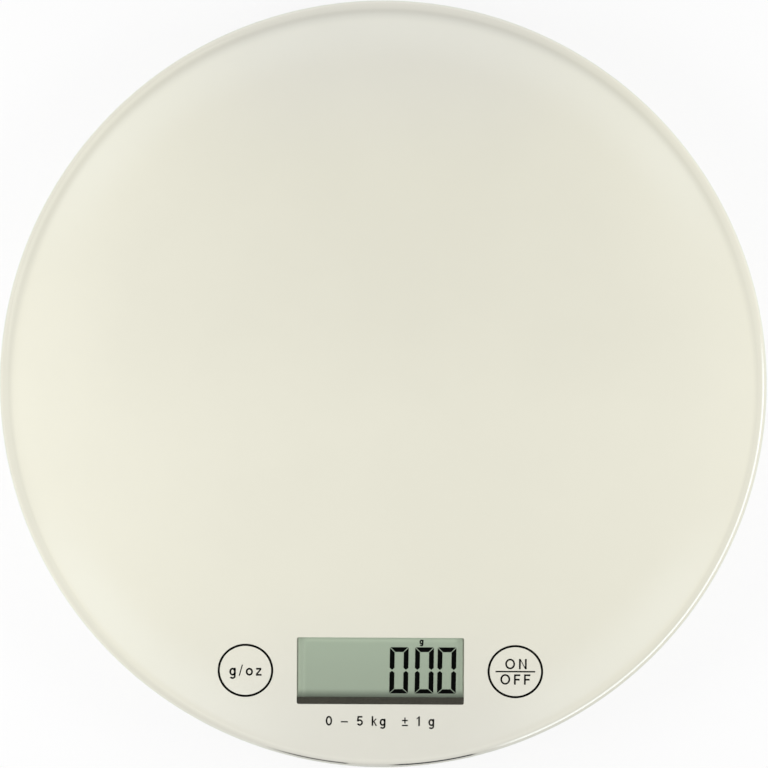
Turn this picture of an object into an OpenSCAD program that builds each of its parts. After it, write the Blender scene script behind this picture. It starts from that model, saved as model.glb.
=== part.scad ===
// Round kitchen scale with a glass platter on one central load cell.
// Z = 0 is the table, the display is at the front (-Y), millimetres throughout.

/* [Glass platter] */
// Diameter of the glass platter
glass_d = 200; // [186:1:240]
// Thickness of the glass
glass_t = 4; // [3.4:0.1:6]
// Radius of the polished rounding along the upper edge
edge_r = 2.6; // [0.8:0.1:2.7]
// Small bevel along the lower edge
edge_bevel = 0.6; // [0.2:0.1:0.8]
// Distance from the glass edge to the edge of the enamel print
print_margin = 1; // [0.8:0.1:3]
// Thickness of the enamel print
print_t = 0.15; // [0.1:0.05:0.3]
// Thickness of the double-sided tape under the print
tape_t = 0.25; // [0.15:0.05:0.6]

/* [Shells] */
// Distance from the glass edge to the side of the two plastic shells
shell_inset = 5; // [3:0.5:7]
// Wall thickness of both shells
wall_t = 1.6; // [1.2:0.1:2.2]
// Thickness of the base floor
floor_t = 1.8; // [1.6:0.1:2.4]
// Thickness of the tray plate
tray_t = 1.6; // [1.5:0.1:2.4]
// Height of the base wall, measured from the underside of the floor
base_wall_h = 6; // [5:0.1:7]
// Rounding along the lower edge of the base
base_corner = 3; // [1.8:0.1:4]
// Rounding along the shoulder of the tray
tray_corner = 1.2; // [0.4:0.1:2]
// Open seam between the two shells
seam_gap = 0.8; // [0.7:0.1:1.5]
// Height by which the inner lip of the base overlaps the tray skirt
lip_lap = 0.5; // [0.3:0.1:0.8]
// Free height between the ribs of the two shells, where the wires run
rib_space = 2.2; // [2:0.1:3]
// Thickness of the moulded ribs
rib_t = 1.2; // [0.8:0.1:1.6]
// Number of spokes in each shell
spokes = 16; // [8:4:24]
// Diameter of the ring rib in each shell
ring_d = 108; // [96:1:124]

/* [Load cell] */
// Length of the load cell
cell_l = 75; // [66:1:84]
// Width of the load cell
cell_w = 12; // [10:0.5:15]
// Height of the load cell
cell_h = 8; // [7:0.1:10]
// Thickness of the thin webs above and below the two bores
web_t = 1.3; // [0.8:0.1:1.8]
// Distance between the two bores
bore_pitch = 16; // [12:0.5:18]
// Height of the slot that joins the bores
bore_slot = 1.6; // [1:0.1:2.2]
// Space around the load cell, inside the rib box
cell_room = 2.6; // [2.4:0.1:4]
// Thickness of the steel plate under the fixed end
base_plate_t = 1; // [0.9:0.1:2]
// Thickness of the steel plate on the free end
tray_plate_t = 1.2; // [1:0.1:2]
// Length of both steel plates
plate_l = 22; // [20:0.5:24]
// Thread diameter of the load cell screws
cell_screw_d = 3; // [2.5:0.1:3.3]
// Distance between the two screws at each end
cell_screw_pitch = 12; // [9:0.5:13]
// Distance from the end of the load cell to its outer screw
cell_screw_end = 5.5; // [4.5:0.1:6.5]
// Depth of thread in the load cell
cell_screw_bite = 5; // [4:0.1:5.5]
// Height of the white coating over the strain gauges
coat_t = 0.6; // [0.3:0.1:0.7]
// Free height over the overload stops
stop_gap = 0.55; // [0.52:0.01:0.65]
// Diameter of the overload stops
stop_d = 10; // [7:0.5:12]

/* [Feet] */
// Diameter of a rubber foot
foot_d = 14; // [10:0.5:18]
// Height by which the feet stand below the floor
foot_stand = 2; // [1.5:0.1:4]
// Depth of the pocket that holds a foot
foot_seat = 0.8; // [0.5:0.1:1]
// Distance from the side of the base to the centre of a foot
foot_inset = 17; // [14:0.5:22]

/* [Display] */
// Width of the clear window in the print
window_w = 43.6; // [36:0.1:49]
// Depth of the clear window in the print, front to back
window_h = 17.4; // [14:0.1:20]
// Corner radius of the window
window_corner = 0.5; // [0.2:0.1:2]
// Distance from the front of the glass to the window
window_inset = 16.4; // [15:0.1:22]
// Sideways shift of the window and keys
window_shift = -0.4; // [-3:0.1:3]
// Thickness of the foam gasket under the window
gasket_t = 1; // [0.6:0.1:1.2]
// Width of gasket that shows along the front of the window
gasket_show = 1.8; // [0:0.1:2.5]
// Width of gasket that shows along the sides of the window
gasket_side_show = 0.35; // [0:0.05:1]
// Thickness of each display glass
lcd_glass_t = 0.7; // [0.5:0.1:1.1]
// Thickness of each polarising film
film_t = 0.2; // [0.1:0.05:0.3]
// Display glass beyond the sides of the window
lcd_side = 2.2; // [1.6:0.1:3]
// Display glass beyond the front of the window
lcd_front = 1.3; // [1:0.1:2]
// Display glass beyond the back of the window
lcd_back = 3.2; // [3:0.1:5]
// Width of the contact ledge along the back of the display glass
ledge_w = 2.4; // [2:0.1:2.8]
// Height of the rubber strip that joins the display to the board
zebra_h = 2.5; // [2:0.1:3]
// Wall of the plastic frame around the display
frame_wall = 1.4; // [1:0.1:2]

/* [Keys and board] */
// Distance from the side of the window to the centre of a key
key_gap = 13.4; // [11.6:0.1:17]
// Coil diameter of a key spring, to the middle of the wire
key_coil_d = 8; // [6:0.1:8.6]
// Wire diameter of a key spring
key_wire_d = 0.6; // [0.4:0.05:0.7]
// Turns of a key spring
key_turns = 3; // [2:0.5:3.5]
// Thickness of the circuit board
board_t = 1; // [0.8:0.1:1.2]
// Board beyond the centre of each key
board_side = 7; // [6.5:0.1:9]
// Board beyond the back of the display frame
board_back = 1.8; // [1.2:0.1:5]
// Thread diameter of the board screws
board_screw_d = 1.8; // [1.6:0.1:2.2]
// Diameter of the bosses that hold the board
board_boss_d = 4.4; // [4:0.1:4.8]

/* [Battery] */
// Distance of the battery behind the middle of the scale
battery_y = 46; // [42:0.5:52]
// Diameter of the coin cell
coin_d = 20; // [16:0.1:20]
// Height of the coin cell
coin_h = 3.2; // [2:0.1:3.4]
// Thickness of the turning cover
cover_t = 1.4; // [1.2:0.1:1.6]
// Wall of the collar on the cover
collar_t = 1.1; // [0.9:0.1:1.5]
// Reach of a bayonet lug beyond the collar
lug_reach = 1.6; // [1:0.1:2]
// Thickness of a bayonet lug
lug_t = 1; // [0.8:0.1:1.2]
// Angle that a lug takes up
lug_angle = 24; // [16:1:28]
// Angle that the cover turns between locked and free
turn_angle = 45; // [35:1:55]
// Cover beyond the lugs
cover_lap = 0.8; // [0.6:0.1:1.5]
// Wall of the battery well
well_t = 1.4; // [1:0.1:1.8]
// Thickness of the contact strip
contact_t = 0.25; // [0.2:0.05:0.3]
// Width of the contact strip
contact_w = 4; // [3:0.1:5]

/* [Hidden] */
$fn = 96;

// Clearances: a running fit, a fit between moulded pieces, and a slight overlap that fuses them
run_fit = 0.05;
fit = 0.15;
bite = 0.2;

// Heights, from the table up
floor_z0 = foot_stand;
floor_z1 = floor_z0 + floor_t;
cell_z0 = floor_z1 + base_plate_t;
cell_z1 = cell_z0 + cell_h;
tray_z0 = cell_z1 + tray_plate_t;
tray_z1 = tray_z0 + tray_t;
print_z0 = tray_z1 + tape_t;
glass_z0 = print_z0 + print_t;
base_top = floor_z0 + base_wall_h;
skirt_z0 = base_top + seam_gap;
lip_top = skirt_z0 + lip_lap;
tray_rib_z0 = base_top + rib_space;
low_rib_top = floor_z1 + 2;
wire_z = base_top + 0.8;

// Radii of the shells
shell_r = glass_d / 2 - shell_inset;
lip_t = 1;
lip_gap = 0.9;
lip_r = shell_r - wall_t - lip_gap;
foot_r = shell_r - foot_inset;
foot_angles = [225, 315, 135, 45];

// Load cell
trough_l = cell_l + 2 * cell_room;
trough_w = cell_w + 2 * cell_room;
trough_corner = 3;
cell_bore_r = cell_h / 2 - web_t;
cell_screw_x = [cell_l / 2 - cell_screw_end, cell_l / 2 - cell_screw_end - cell_screw_pitch];
cell_head_d = cell_screw_d * 1.85;
cell_head_sink = 0.1;
coat_room = 2.5;
coat_l = cell_l - 2 * plate_l - 2 * coat_room;
coat_side_t = 1;

// Display stack, from the gasket down
window_x = window_shift;
window_y = -(glass_d / 2 - window_inset - window_h / 2);
lcd_z1 = print_z0 - gasket_t;
ledge_z = lcd_z1 - film_t - lcd_glass_t;
rear_glass_z0 = ledge_z - lcd_glass_t;
shelf_z = rear_glass_z0 - film_t;
board_z1 = ledge_z - zebra_h;
board_z0 = board_z1 - board_t;
lcd_w = window_w + 2 * lcd_side;
lcd_y0 = -window_h / 2 - lcd_front;
lcd_y1 = window_h / 2 + lcd_back;
lcd_corner = 0.4;
film_inset = 0.3;
frame_lip = frame_wall + fit;
frame_w = lcd_w + 2 * frame_lip;
shelf_w = 2;
peg_d = 1.6;
peg_x = frame_w / 2 - 1.1;
peg_y = (lcd_y0 + lcd_y1) / 2;

// Board, measured from the middle of the window
key_x = window_w / 2 + key_gap;
key_hole_r = key_coil_d / 2 + 1;
board_l = 2 * (key_x + board_side);
board_y0 = lcd_y0 - frame_lip - 1.4;
board_y1 = lcd_y1 + frame_lip + board_back;
board_r = lip_r - lip_t - 0.6;
boss_rear = [board_l / 2 - 3.5, board_y1 - 3.5];
boss_front = [frame_w / 2 + 0.6 + board_boss_d / 2, lcd_y0 + 4];
boss_places = [boss_rear, [-boss_rear[0], boss_rear[1]], boss_front, [-boss_front[0], boss_front[1]]];
board_screw_top = tray_z0 + 0.5;
board_head_h = 1.1;
solder_y = window_y + board_y1 - 2.4;

// Small parts under the board
chip_w = 3.9;
chip_l = 4.9;
chip_h = 1.4;
chip_at = [8, 2];
crystal_d = 2;
crystal_l = 6;
crystal_at = [14, 4];
buzzer_d = 4;
buzzer_h = 1.2;
buzzer_at = [-28, 4];
small_part = [0.9, 1.6, 0.7];
small_pitch = 2.6;
left_parts_at = [-20.8, -7];
right_parts_at = [15, -6];
dome_r = 5.5;
dome_h = 1.3;
dome_at = [-8, 1];

// Battery well and bayonet
coin_r = coin_d / 2;
coin_wall = 0.25;
coin_z0 = floor_z0 + cover_t + 0.2;
coin_z1 = coin_z0 + coin_h;
collar_r0 = coin_r + 0.5;
collar_r = collar_r0 + collar_t;
lug_r = collar_r + lug_reach;
cover_r = lug_r + cover_lap;
ledge_z0 = floor_z0 + cover_t + 0.1;
ledge_t = 1.2;
channel_z0 = ledge_z0 + ledge_t;
channel_z1 = channel_z0 + lug_t + 0.2;
well_bore_r = coin_r + 0.4;
well_roof_z = coin_z1 + 1.2;
well_top = well_roof_z + 1.2;
well_neck_r = well_bore_r + well_t;
well_r = cover_r + fit + well_t;
lug_count = 3;
contact_slot = 0.3;
leg_r = coin_r + 0.08;
tab_r = coin_r / 2;
positive_angle = -20;
negative_angle = -70;

// Points of the wires: the leads at both ends are straight
cell_wire_d = 0.9;
cell_wire_pitch = 1.6;
battery_wire_d = 1.1;
lead_l = 2;
wire_rise = 4;
wire_bow = 5;
tab_wire_z = well_top + contact_t + battery_wire_d / 2;
positive_route = [[4.7, battery_y - 1.7, tab_wire_z], [12.2, battery_y - 4.4, tab_wire_z],
    [19, battery_y - 8, wire_z + 0.2], [38, 27, wire_z], [49, 9, wire_z], [50, -12, wire_z],
    [46, -34, wire_z], [34, -50, wire_z], [25.3, solder_y + 5, wire_z],
    [25, solder_y, board_z0 - 1], [25, solder_y, board_z0]];
negative_route = [[1.7, battery_y - 4.7, tab_wire_z], [4.4, battery_y - 12, tab_wire_z],
    [12, battery_y - 17.5, wire_z + 0.2], [35.4, 24.4, wire_z], [47, 7.6, wire_z],
    [48, -12, wire_z], [44.2, -33, wire_z], [32.4, -48.6, wire_z],
    [22.8, solder_y + 5, wire_z], [22.4, solder_y, board_z0 - 1], [22.4, solder_y, board_z0]];
guide_places = [[45.6, -4], [52.2, -4]];
guide_d = 2;

function unit(v) = v / norm(v);
function square_to(side, dir) = unit(side - (side * dir) * dir);

// Point at t on the smooth curve from b to c, with its neighbours a and d
function curve_point(a, b, c, d, t) =
    b + (c - a) * t / 2 + (2 * a - 5 * b + 4 * c - d) * t * t / 2
    + (3 * b - a - 3 * c + d) * t * t * t / 2;

// Smooth route through the points, straight from the first to the second and at the far end
function smooth_route(p, steps) = concat([p[0]],
    [for (i = [1:len(p) - 3]) for (k = [0:steps - 1])
        curve_point(p[i - 1], p[i], p[i + 1], p[i + 2], k / steps)],
    [p[len(p) - 2], p[len(p) - 1]]);

function directions(p) =
    [for (i = [0:len(p) - 1]) unit(p[min(i + 1, len(p) - 1)] - p[max(i - 1, 0)])];

// One side vector for each ring, carried along the route without twist
function carried(dirs, first) = [for (i = 0, s = square_to(first, dirs[0]); i < len(dirs);
    i = i + 1, s = i < len(dirs) ? square_to(s, dirs[i]) : s) s];

// Route of the helix of a key spring, with a short straight piece at both ends
function key_helix() =
    let (r = key_coil_d / 2, z0 = board_z1 + key_wire_d / 2, z1 = print_z0 - key_wire_d / 2,
        n = key_turns * 8, last = 360 * key_turns,
        coil = [for (i = [0:n]) [r * cos(45 * i), r * sin(45 * i), z0 + (z1 - z0) * i / n]])
    concat([coil[0] - [0, key_wire_d, 0]], coil,
        [coil[n] + key_wire_d * [-sin(last), cos(last), 0]]);

// Least free gap between points of a route that are half a turn or more apart
function self_gap(p, wire_d) =
    min([for (i = [0:len(p) - 5]) for (j = [i + 4:len(p) - 1]) norm(p[i] - p[j])]) - wire_d;

echo(least_gap_in_a_key_spring = self_gap(key_helix(), key_wire_d));

// Tube of triangles along a route of points
module tube(points, d, sides) {
    dirs = directions(points);
    side = carried(dirs, [1, 0.3, 0.1]);
    n = len(points);
    verts = [for (i = [0:n - 1]) for (k = [0:sides - 1])
        points[i] + d / 2 * (cos(360 * k / sides) * side[i]
            + sin(360 * k / sides) * cross(dirs[i], side[i]))];
    skin = [for (i = [0:n - 2]) for (k = [0:sides - 1])
        let (a = i * sides + k, b = i * sides + (k + 1) % sides, c = b + sides, d = a + sides)
            each [[a, d, c], [a, c, b]]];
    start = [for (k = [1:sides - 2]) [0, k, k + 1]];
    far = (n - 1) * sides;
    end = [for (k = [1:sides - 2]) [far, far + k + 1, far + k]];
    polyhedron(concat(verts), concat(skin, start, end));
}

// Rectangle with round corners, centred
module rounded_square(w, l, r) {
    square([w - 2 * r, l], center = true);
    square([w, l - 2 * r], center = true);
    for (x = [-1, 1], y = [-1, 1])
        translate([x * (w / 2 - r), y * (l / 2 - r)]) circle(r);
}

module ring_plan(outer, inner) {
    difference() {
        circle(outer);
        circle(inner);
    }
}

// Half section of a round pan that stands on its floor, its lower corner rounded
module pan_section(r, h, corner) {
    square([r - corner, h]);
    translate([0, corner]) square([r, h - corner]);
    translate([r - corner, corner]) circle(corner);
}

// Half section of the wall and floor of such a pan
module shell_section(r, h, floor, corner) {
    difference() {
        pan_section(r, h, corner);
        translate([0, floor]) pan_section(r - wall_t, h, max(corner - wall_t, 0.2));
    }
}

// Plan of the ribs: a ring, the spokes and a box around the load cell
module rib_plan(reach) {
    difference() {
        union() {
            ring_plan(ring_d / 2 + rib_t / 2, ring_d / 2 - rib_t / 2);
            for (i = [0:spokes - 1])
                rotate(i * 360 / spokes) translate([0, -rib_t / 2]) square([reach, rib_t]);
            rounded_square(trough_l + 2 * rib_t, trough_w + 2 * rib_t, trough_corner + rib_t);
        }
        rounded_square(trough_l, trough_w, trough_corner);
    }
}

// Plan of the zone at the front that the board takes up
module board_zone(margin) {
    translate([window_x - board_l / 2 - margin, -glass_d / 2])
        square([board_l + 2 * margin, glass_d / 2 + window_y + board_y1 + margin]);
}

module at_window() {
    translate([window_x, window_y, 0]) children();
}

module at_battery() {
    translate([0, battery_y, 0]) children();
}

module at_foot(i) {
    rotate(foot_angles[i]) translate([foot_r, 0, 0]) children();
}

// Flat plate over the outline of the display glass, grown outwards by a margin
module lcd_plate(margin, z0, z1, back_cut = 0, corner = lcd_corner) {
    w = lcd_w + 2 * margin;
    l = lcd_y1 - lcd_y0 - back_cut + 2 * margin;
    translate([0, (lcd_y0 + lcd_y1 - back_cut) / 2, z0])
        linear_extrude(z1 - z0) rounded_square(w, l, corner);
}

// Countersunk screw with a cross recess, head face at z = 0, pointing down
module flat_screw(length) {
    cone_h = (cell_head_d - cell_screw_d) / 2;
    recess_l = cell_head_d * 0.6;
    difference() {
        union() {
            translate([0, 0, -cone_h])
                cylinder(h = cone_h, d1 = cell_screw_d, d2 = cell_head_d);
            translate([0, 0, -length]) cylinder(h = length, d = cell_screw_d);
        }
        for (a = [0, 90])
            rotate(a) translate([-recess_l / 2, -0.35, -0.8]) cube([recess_l, 0.7, 1]);
    }
}

// Hole for such a screw, through a plate below z = 0
module flat_screw_hole(plate) {
    r = cell_head_d / 2 + 0.1;
    hole_r = cell_screw_d / 2 + fit;
    translate([0, 0, -plate - 1]) cylinder(h = plate + 2, r = hole_r);
    translate([0, 0, cell_head_sink - (r - hole_r) - 0.1]) cylinder(h = r - hole_r, r1 = hole_r, r2 = r);
    translate([0, 0, cell_head_sink - 0.1]) cylinder(h = 1, r = r);
}

module glass_platter() {
    r = glass_d / 2;
    color([0.78, 0.88, 0.84, 0.45]) translate([0, 0, glass_z0]) rotate_extrude() difference() {
        square([r, glass_t]);
        translate([r - edge_r, glass_t - edge_r]) difference() {
            square(edge_r + 1);
            circle(edge_r);
        }
        polygon([[r - edge_bevel, -1], [r - edge_bevel, 0], [r, edge_bevel],
            [r + 1, edge_bevel], [r + 1, -1]]);
    }
}

module enamel_print() {
    color([0.93, 0.92, 0.86]) translate([0, 0, print_z0]) linear_extrude(print_t) difference() {
        circle(glass_d / 2 - print_margin);
        translate([window_x, window_y]) rounded_square(window_w, window_h, window_corner);
    }
}

// Plan of the openings in the tray and the tape: the display frame and the two keys
module front_openings(margin) {
    w = frame_w + 2 * margin;
    l = lcd_y1 - lcd_y0 + 2 * (frame_lip + margin);
    translate([window_x, window_y]) {
        translate([0, (lcd_y0 + lcd_y1) / 2]) rounded_square(w, l, 1);
        for (s = [-1, 1]) translate([s * key_x, 0]) circle(key_hole_r + margin);
    }
}

module mounting_tape() {
    color([0.85, 0.84, 0.80]) translate([0, 0, tray_z1]) linear_extrude(tape_t) difference() {
        circle(shell_r - tray_corner - 1);
        front_openings(0.8);
    }
}

module platform_tray() {
    skirt_h = tray_z1 - skirt_z0;
    color([0.93, 0.92, 0.88]) difference() {
        union() {
            translate([0, 0, tray_z1]) mirror([0, 0, 1]) rotate_extrude()
                shell_section(shell_r, skirt_h, tray_t, tray_corner);
            translate([0, 0, tray_rib_z0]) linear_extrude(tray_z0 + bite - tray_rib_z0) difference() {
                rib_plan(shell_r - wall_t / 2);
                board_zone(1.5);
                translate([0, battery_y]) circle(well_r + 7);
            }
            for (i = [0:3]) at_foot(i) translate([0, 0, tray_rib_z0])
                cylinder(h = tray_z0 + bite - tray_rib_z0, d = stop_d);
            at_window() for (p = boss_places) translate([p[0], p[1], board_z1])
                cylinder(h = tray_z0 + bite - board_z1, d = board_boss_d);
        }
        translate([0, 0, tray_z0 - 1]) linear_extrude(tray_t + 2) front_openings(0.4);
        for (x = cell_screw_x) translate([x, 0, tray_z1]) flat_screw_hole(tray_t);
        at_window() for (p = boss_places) translate([p[0], p[1], board_z1 - 1])
            cylinder(h = board_screw_top + 1.3 - board_z1, d = board_screw_d + 2 * run_fit);
    }
}

module display_gasket() {
    cut_w = window_w - 2 * gasket_side_show;
    cut_y0 = -window_h / 2 + gasket_show;
    cut_l = window_h + 0.2 - gasket_show;
    color([0.12, 0.12, 0.12]) at_window() difference() {
        lcd_plate(0, lcd_z1, print_z0);
        translate([-cut_w / 2, cut_y0, lcd_z1 - 1]) cube([cut_w, cut_l, gasket_t + 2]);
    }
}

module lcd_front_film() {
    color([0.62, 0.66, 0.58]) at_window() lcd_plate(-film_inset, lcd_z1 - film_t, lcd_z1, ledge_w);
}

module lcd_front_glass() {
    color([0.70, 0.75, 0.68]) at_window() lcd_plate(0, ledge_z, lcd_z1 - film_t);
}

module lcd_rear_glass() {
    color([0.66, 0.71, 0.64]) at_window() lcd_plate(0, rear_glass_z0, ledge_z, ledge_w);
}

module lcd_rear_film() {
    color([0.55, 0.57, 0.52]) at_window() lcd_plate(-film_inset, shelf_z, rear_glass_z0, ledge_w);
}

// Box of the rubber strip, grown sideways by a margin
module zebra_box(margin, z0, z1) {
    l = lcd_w - 3 + 2 * margin;
    w = ledge_w - 0.6 + 2 * margin;
    translate([-l / 2, lcd_y1 - 0.3 - w + margin, z0]) cube([l, w, z1 - z0]);
}

module zebra_strip() {
    color([0.22, 0.22, 0.24]) at_window() zebra_box(0, board_z1, ledge_z);
}

module display_frame() {
    inner_l = lcd_y1 - lcd_y0 - ledge_w - 2 * shelf_w;
    color([0.15, 0.15, 0.16]) at_window() {
        difference() {
            lcd_plate(frame_lip, board_z1, lcd_z1, 0, 1);
            lcd_plate(fit, shelf_z, lcd_z1 + 1);
            zebra_box(0.1, board_z1 - 1, ledge_z);
            translate([-lcd_w / 2 + shelf_w, lcd_y0 + shelf_w, board_z1 - 1])
                cube([lcd_w - 2 * shelf_w, inner_l, shelf_z - board_z1 + 2]);
        }
        for (s = [-1, 1]) translate([s * peg_x, peg_y, board_z0 - 0.4])
            cylinder(h = board_t + 0.4 + bite, d = peg_d);
    }
}

module circuit_board() {
    color([0.10, 0.36, 0.22]) translate([0, 0, board_z0]) linear_extrude(board_t) difference() {
        intersection() {
            translate([window_x, window_y + (board_y0 + board_y1) / 2])
                rounded_square(board_l, board_y1 - board_y0, 1.5);
            circle(board_r);
        }
        translate([window_x, window_y]) {
            for (p = boss_places) translate(p) circle(board_screw_d / 2 + fit);
            for (s = [-1, 1]) translate([s * peg_x, peg_y]) circle(peg_d / 2 + 0.1);
        }
    }
}

// Dome of black resin over the bare chip, on the underside of the board
module chip_coating() {
    ball = (dome_r * dome_r + dome_h * dome_h) / (2 * dome_h);
    color([0.06, 0.06, 0.06]) at_window() translate([0, 0, board_z0]) translate(dome_at)
    difference() {
        translate([0, 0, ball - dome_h]) sphere(ball);
        translate([-2 * ball, -2 * ball, 0]) cube([4 * ball, 4 * ball, 3 * ball]);
    }
}

// Small chip with a row of bent legs on both sides, hanging below z = 0
module leg_chip(w, l, h, legs) {
    pitch = 1.27;
    translate([-w / 2, -l / 2, -h]) cube([w, l, h - 0.1]);
    for (s = [-1, 1], i = [0:legs - 1]) translate([s * w / 2, (i - (legs - 1) / 2) * pitch, 0])
        mirror([s < 0 ? 1 : 0, 0, 0]) {
            translate([-0.1, -0.2, -h / 2 - 0.1]) cube([0.5, 0.4, 0.2]);
            translate([0.2, -0.2, -h / 2 - 0.1]) cube([0.2, 0.4, h / 2 + 0.1]);
            translate([0.2, -0.2, -0.2]) cube([0.9, 0.4, 0.2]);
        }
}

// Row of small surface parts, hanging below z = 0
module small_parts(count) {
    for (i = [0:count - 1]) translate([small_pitch * i, 0, -small_part[2]]) cube(small_part);
}

module board_components() {
    color([0.75, 0.70, 0.55]) at_window() translate([0, 0, board_z0]) {
        translate(chip_at) leg_chip(chip_w, chip_l, chip_h, 4);
        translate(left_parts_at) small_parts(6);
        translate(right_parts_at) small_parts(4);
        translate(crystal_at) translate([0, 0, -crystal_d / 2]) rotate([0, 90, 0])
            cylinder(h = crystal_l, d = crystal_d);
        translate(buzzer_at) translate([0, 0, -buzzer_h]) cylinder(h = buzzer_h, d = buzzer_d);
    }
}

module key_spring(side) {
    color([0.80, 0.76, 0.62]) at_window() translate([side * key_x, 0, 0])
        tube(key_helix(), key_wire_d, 6);
}

module left_key_spring() {
    key_spring(-1);
}

module right_key_spring() {
    key_spring(1);
}

module board_screws() {
    head_d = board_screw_d * 1.9;
    color([0.70, 0.70, 0.72]) at_window() for (p = boss_places) translate([p[0], p[1], board_z0])
        difference() {
            union() {
                translate([0, 0, -board_head_h]) cylinder(h = board_head_h, d = head_d);
                cylinder(h = board_screw_top - board_z0, d = board_screw_d);
            }
            for (a = [0, 90]) rotate(a)
                translate([-head_d * 0.3, -0.25, -board_head_h - 0.4]) cube([head_d * 0.6, 0.5, 1]);
        }
}

// Steel plate between one end of the load cell and the shell that it is screwed to
module cell_plate(thickness) {
    difference() {
        translate([cell_l / 2 - plate_l / 2, 0, 0]) linear_extrude(thickness)
            rounded_square(plate_l, cell_w, 1);
        for (x = cell_screw_x) translate([x, 0, -1])
            cylinder(h = thickness + 2, r = cell_screw_d / 2 + fit);
    }
}

module cell_tray_plate() {
    color([0.62, 0.63, 0.65]) translate([0, 0, cell_z1]) cell_plate(tray_plate_t);
}

module cell_base_plate() {
    color([0.62, 0.63, 0.65]) translate([0, 0, floor_z1]) mirror([1, 0, 0]) cell_plate(base_plate_t);
}

module cell_tray_screws() {
    head_z = tray_z1 - cell_head_sink;
    color([0.55, 0.55, 0.57]) for (x = cell_screw_x) translate([x, 0, head_z])
        flat_screw(head_z - cell_z1 + cell_screw_bite);
}

module cell_base_screws() {
    head_z = floor_z0 + cell_head_sink;
    color([0.55, 0.55, 0.57]) for (x = cell_screw_x) translate([-x, 0, head_z])
        mirror([0, 0, 1]) flat_screw(cell_z0 + cell_screw_bite - head_z);
}

// Aluminium bar that bends at four thin webs over a pair of joined bores
module load_cell() {
    hole_h = cell_screw_bite + 1;
    color([0.80, 0.81, 0.83]) difference() {
        translate([0, 0, cell_z0]) linear_extrude(cell_h) rounded_square(cell_l, cell_w, 0.8);
        translate([0, 0, cell_z0 + cell_h / 2]) {
            for (s = [-1, 1]) translate([s * bore_pitch / 2, cell_w, 0])
                rotate([90, 0, 0]) cylinder(h = 2 * cell_w, r = cell_bore_r);
            cube([bore_pitch, 2 * cell_w, bore_slot], center = true);
        }
        for (x = cell_screw_x) {
            translate([x, 0, cell_z1 - hole_h])
                cylinder(h = hole_h + 1, r = cell_screw_d / 2 + run_fit);
            translate([-x, 0, cell_z0 - 1])
                cylinder(h = hole_h + 1, r = cell_screw_d / 2 + run_fit);
        }
    }
}

// White rubber over the gauges, above, below and down the front where the wires leave
module gauge_coating() {
    side_l = 4 * cell_wire_pitch + 1.6;
    color([0.94, 0.94, 0.92]) {
        for (z = [cell_z0 - coat_t, cell_z1]) translate([0, 0, z])
            linear_extrude(coat_t) rounded_square(coat_l, cell_w - 1, 2);
        translate([-side_l / 2, -cell_w / 2 - coat_side_t, cell_z0 - coat_t])
            cube([side_l, coat_side_t, cell_h + 2 * coat_t]);
        for (z = [cell_z0 - coat_t, cell_z1]) translate([-side_l / 2, -cell_w / 2 - bite, z])
            cube([side_l, 1 + bite, coat_t]);
    }
}

module load_cell_wires() {
    y0 = -cell_w / 2 - coat_side_t;
    run = y0 - solder_y;
    color([0.75, 0.20, 0.18]) for (i = [0:3]) {
        x = (i - 1.5) * cell_wire_pitch;
        far_x = x - 0.4 * wire_bow;
        tube(smooth_route([[x, y0, wire_z], [x, y0 - lead_l, wire_z],
            [x - 0.6 * wire_bow, y0 - 0.25 * run, wire_z], [x - wire_bow, y0 - 0.5 * run, wire_z],
            [x - 0.8 * wire_bow, y0 - 0.78 * run, wire_z], [far_x, solder_y + wire_rise, wire_z],
            [far_x, solder_y, board_z0 - lead_l / 2], [far_x, solder_y, board_z0]], 3),
            cell_wire_d, 6);
    }
}

module battery_wires() {
    color([0.70, 0.12, 0.12]) for (route = [positive_route, negative_route])
        tube(smooth_route(route, 3), battery_wire_d, 6);
}

// Section of the battery well, solid, from the floor up
module well_section() {
    square([well_r, channel_z1 + 1.2 - floor_z0]);
    square([well_neck_r, well_top - floor_z0]);
}

// Half section of the room for the cover, its collar and the coin cell
module well_room_section() {
    translate([0, floor_z0 - 1]) square([cover_r + fit, ledge_z0 - floor_z0 + 1]);
    translate([0, floor_z0]) square([collar_r + fit, channel_z1 + fit - floor_z0]);
    translate([0, floor_z0]) square([well_bore_r, well_roof_z - floor_z0]);
}

// Sector of a ring that leaves a lug free, from one angle on and out to a radius
module lug_room(start, angle, z0, z1, r) {
    rotate(start) rotate_extrude(angle = angle)
        translate([well_bore_r, z0]) square([r - well_bore_r, z1 - z0]);
}

// Everything that is cut out of the well: each lug goes up through a slot and turns in a channel
module well_room() {
    rotate_extrude() well_room_section();
    for (i = [0:lug_count - 1]) rotate(i * 360 / lug_count - lug_angle / 2) {
        lug_room(-2, lug_angle + turn_angle + 5, channel_z0, channel_z1, lug_r + fit);
        lug_room(turn_angle - 2, lug_angle + 4, floor_z0, (channel_z0 + channel_z1) / 2,
            lug_r + 2 * fit);
    }
    rotate(positive_angle) contact_room();
    rotate(negative_angle) contact_room();
}

// Slot in the wall and roof of the well that a contact strip stands in
module contact_room() {
    translate([coin_r - 0.4, -contact_w / 2 - contact_slot, channel_z0])
        cube([1.4, contact_w + 2 * contact_slot, well_top - channel_z0 + 1]);
}

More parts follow.
